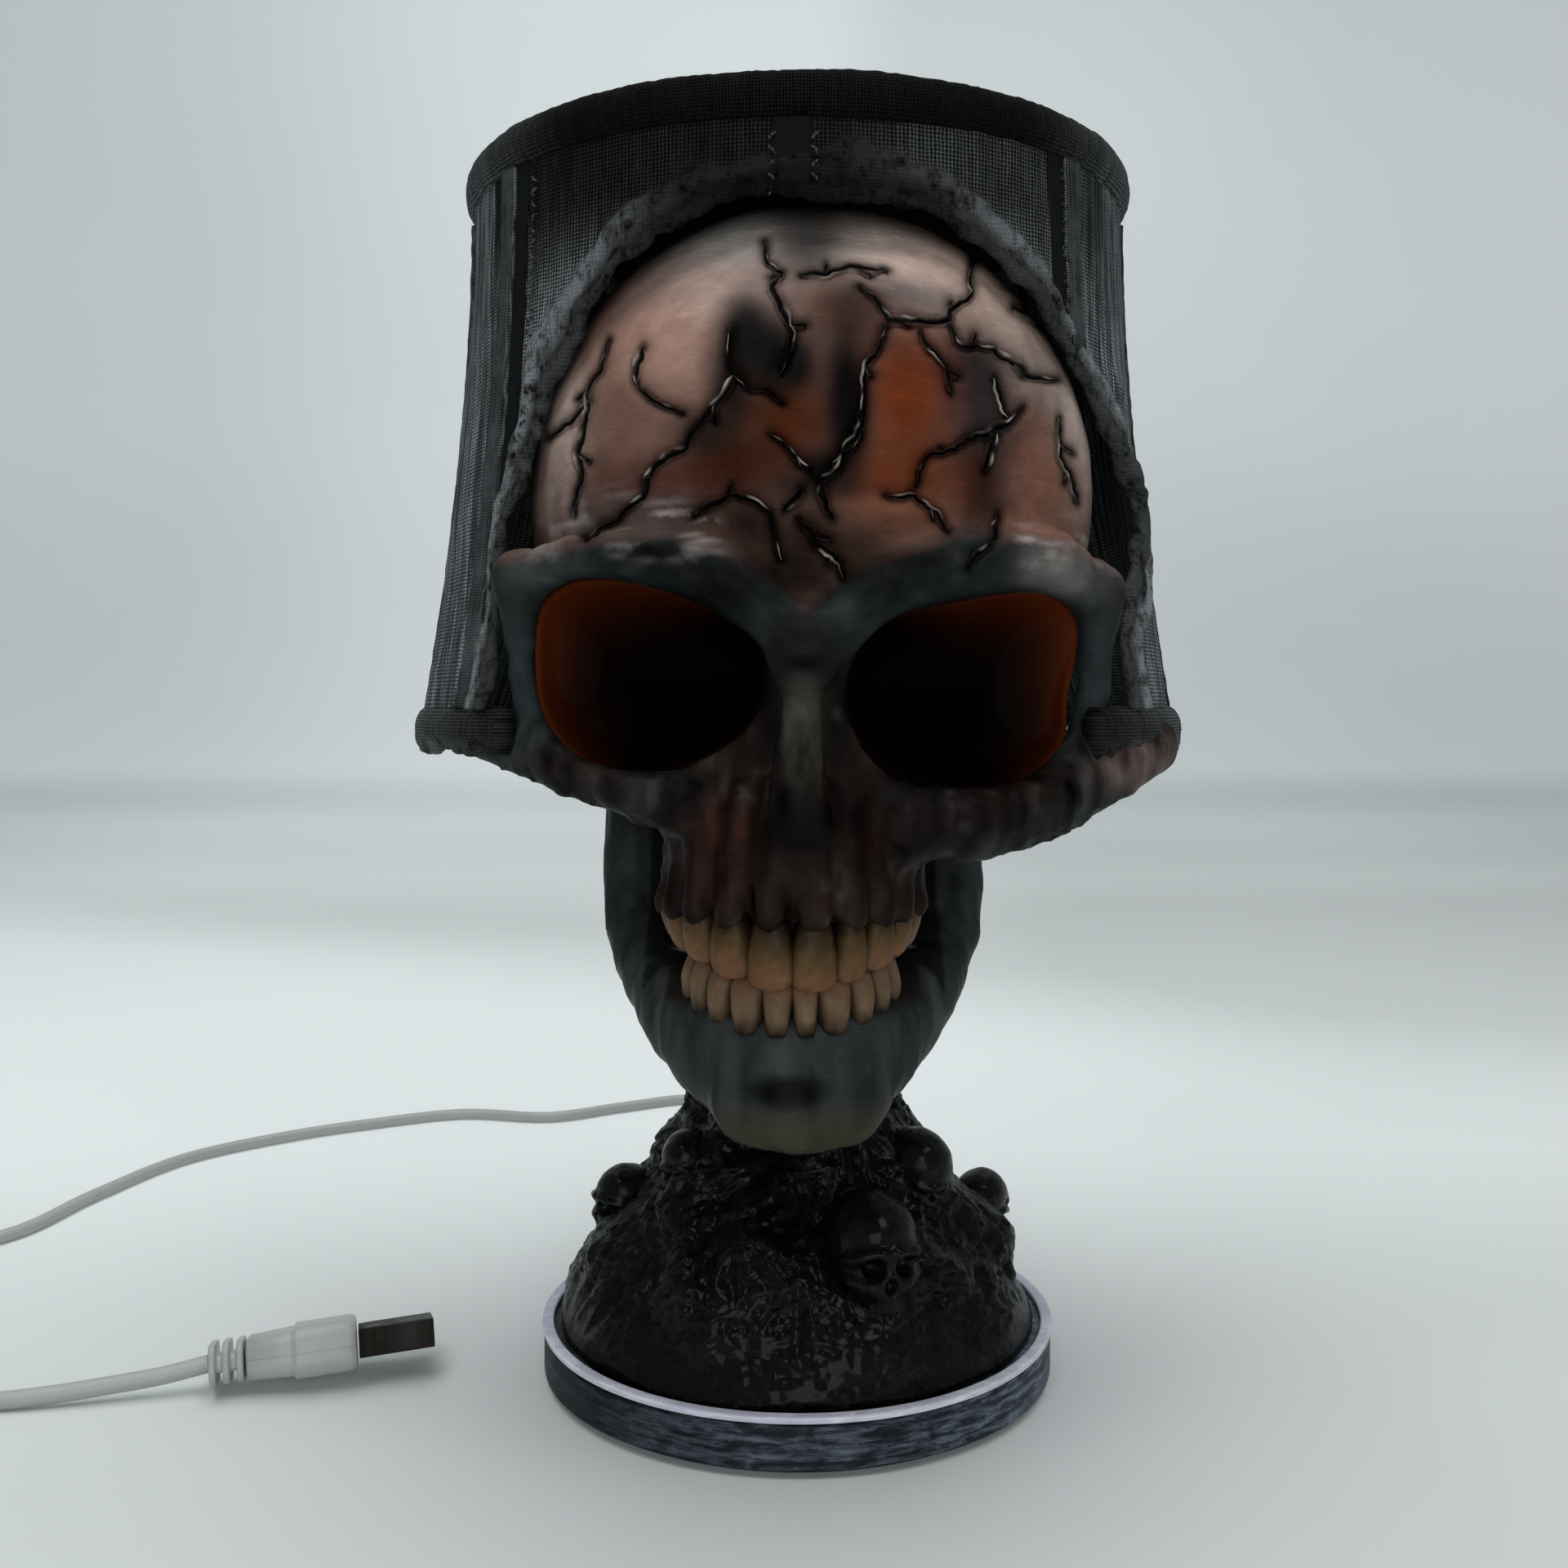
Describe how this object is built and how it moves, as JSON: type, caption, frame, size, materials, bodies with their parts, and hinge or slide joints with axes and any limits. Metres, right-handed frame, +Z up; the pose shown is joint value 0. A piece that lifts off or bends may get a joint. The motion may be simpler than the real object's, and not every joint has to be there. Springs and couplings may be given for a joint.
{
  "type": "skull lamp",
  "caption": "Novelty table lamp: a cracked resin skull bursts through a torn dark cloth shade above a rock pedestal.",
  "frame": {"origin": "centre of the foot pad's underside, on the lamp's axis", "axes": "+Z up along the lamp's axis, -Y is the skull's face, +X is to the viewer's right"},
  "size_m": [0.267, 0.2406, 0.198],
  "materials": {
    "rock": "glossy black cast resin rock",
    "base": "satin blue-grey resin with brushed streaks",
    "trim": "worn silver edge",
    "foot": "matt black foam pad",
    "cover": "matt black",
    "steel": "plated steel",
    "bone": "satin translucent resin, airbrushed",
    "jaw": "satin grey-black resin with brushed streaks",
    "eye": "glossy deep red translucent resin",
    "tooth": "satin stained ivory resin",
    "shade": "coarse woven charcoal cloth",
    "rib": "black stitched tape",
    "lamp_plastic": "off-white moulded",
    "globe": "frosted diffuser",
    "circuit": "green circuit board",
    "cord": "smooth white sheath"
  },
  "bodies": {
    "lamp_body": {"base_edge_trim": "trim", "base_nut": "steel", "base_plate": "base", "base_washer": "steel", "bottom_cover": "cover", "cord_coil": "cord", "cord_front_run": "cord", "cord_grommet": "cover", "cord_rear_run": "cord", "cover_screw_1": "steel", "cover_screw_2": "steel", "cover_screw_3": "steel", "driver_board": "circuit", "eye_membrane_left": "eye", "eye_membrane_right": "eye", "foot_pad": "foot", "jaw": "jaw", "lamp_holder": "lamp_plastic", "lamp_lead": "cord", "light_board": "circuit", "light_globe": "globe", "lower_teeth": "tooth", "neck_nut": "steel", "neck_washer": "steel", "plug_body": "cord", "plug_boot": "cord", "plug_metal_shell": "steel", "plug_tongue": "cover", "rock_pedestal": "rock", "rock_skull_front_right": "rock", "rock_skull_left": "rock", "rock_skull_rear": "rock", "rock_skull_rear_right": "rock", "rock_skull_upper_left": "rock", "rock_skull_upper_right": "rock", "shade_bottom_rim": "shade", "shade_carrier": "steel", "shade_cloth": "shade", "shade_lid": "shade", "shade_rib_front": "rib", "shade_rib_front_left": "rib", "shade_rib_front_right": "rib", "shade_rib_left": "rib", "shade_rib_rear": "rib", "shade_rib_rear_left": "rib", "shade_rib_rear_right": "rib", "shade_rib_right": "rib", "shade_top_rim": "shade", "skull_shell": "bone", "supply_lead": "cord", "switch_bezel": "steel", "switch_module": "cover", "threaded_tube": "steel", "upper_teeth": "tooth"},
    "push_button": {"switch_button": "lamp_plastic"}
  },
  "joints": [
    {"name": "button_press", "type": "slide", "parent": "lamp_body", "child": "push_button", "axis": [-0.5, -0.866, 0], "range_m": [0, 0.001], "stiffness_N_per_m": 300, "springref_m": -0.0005}
  ]
}
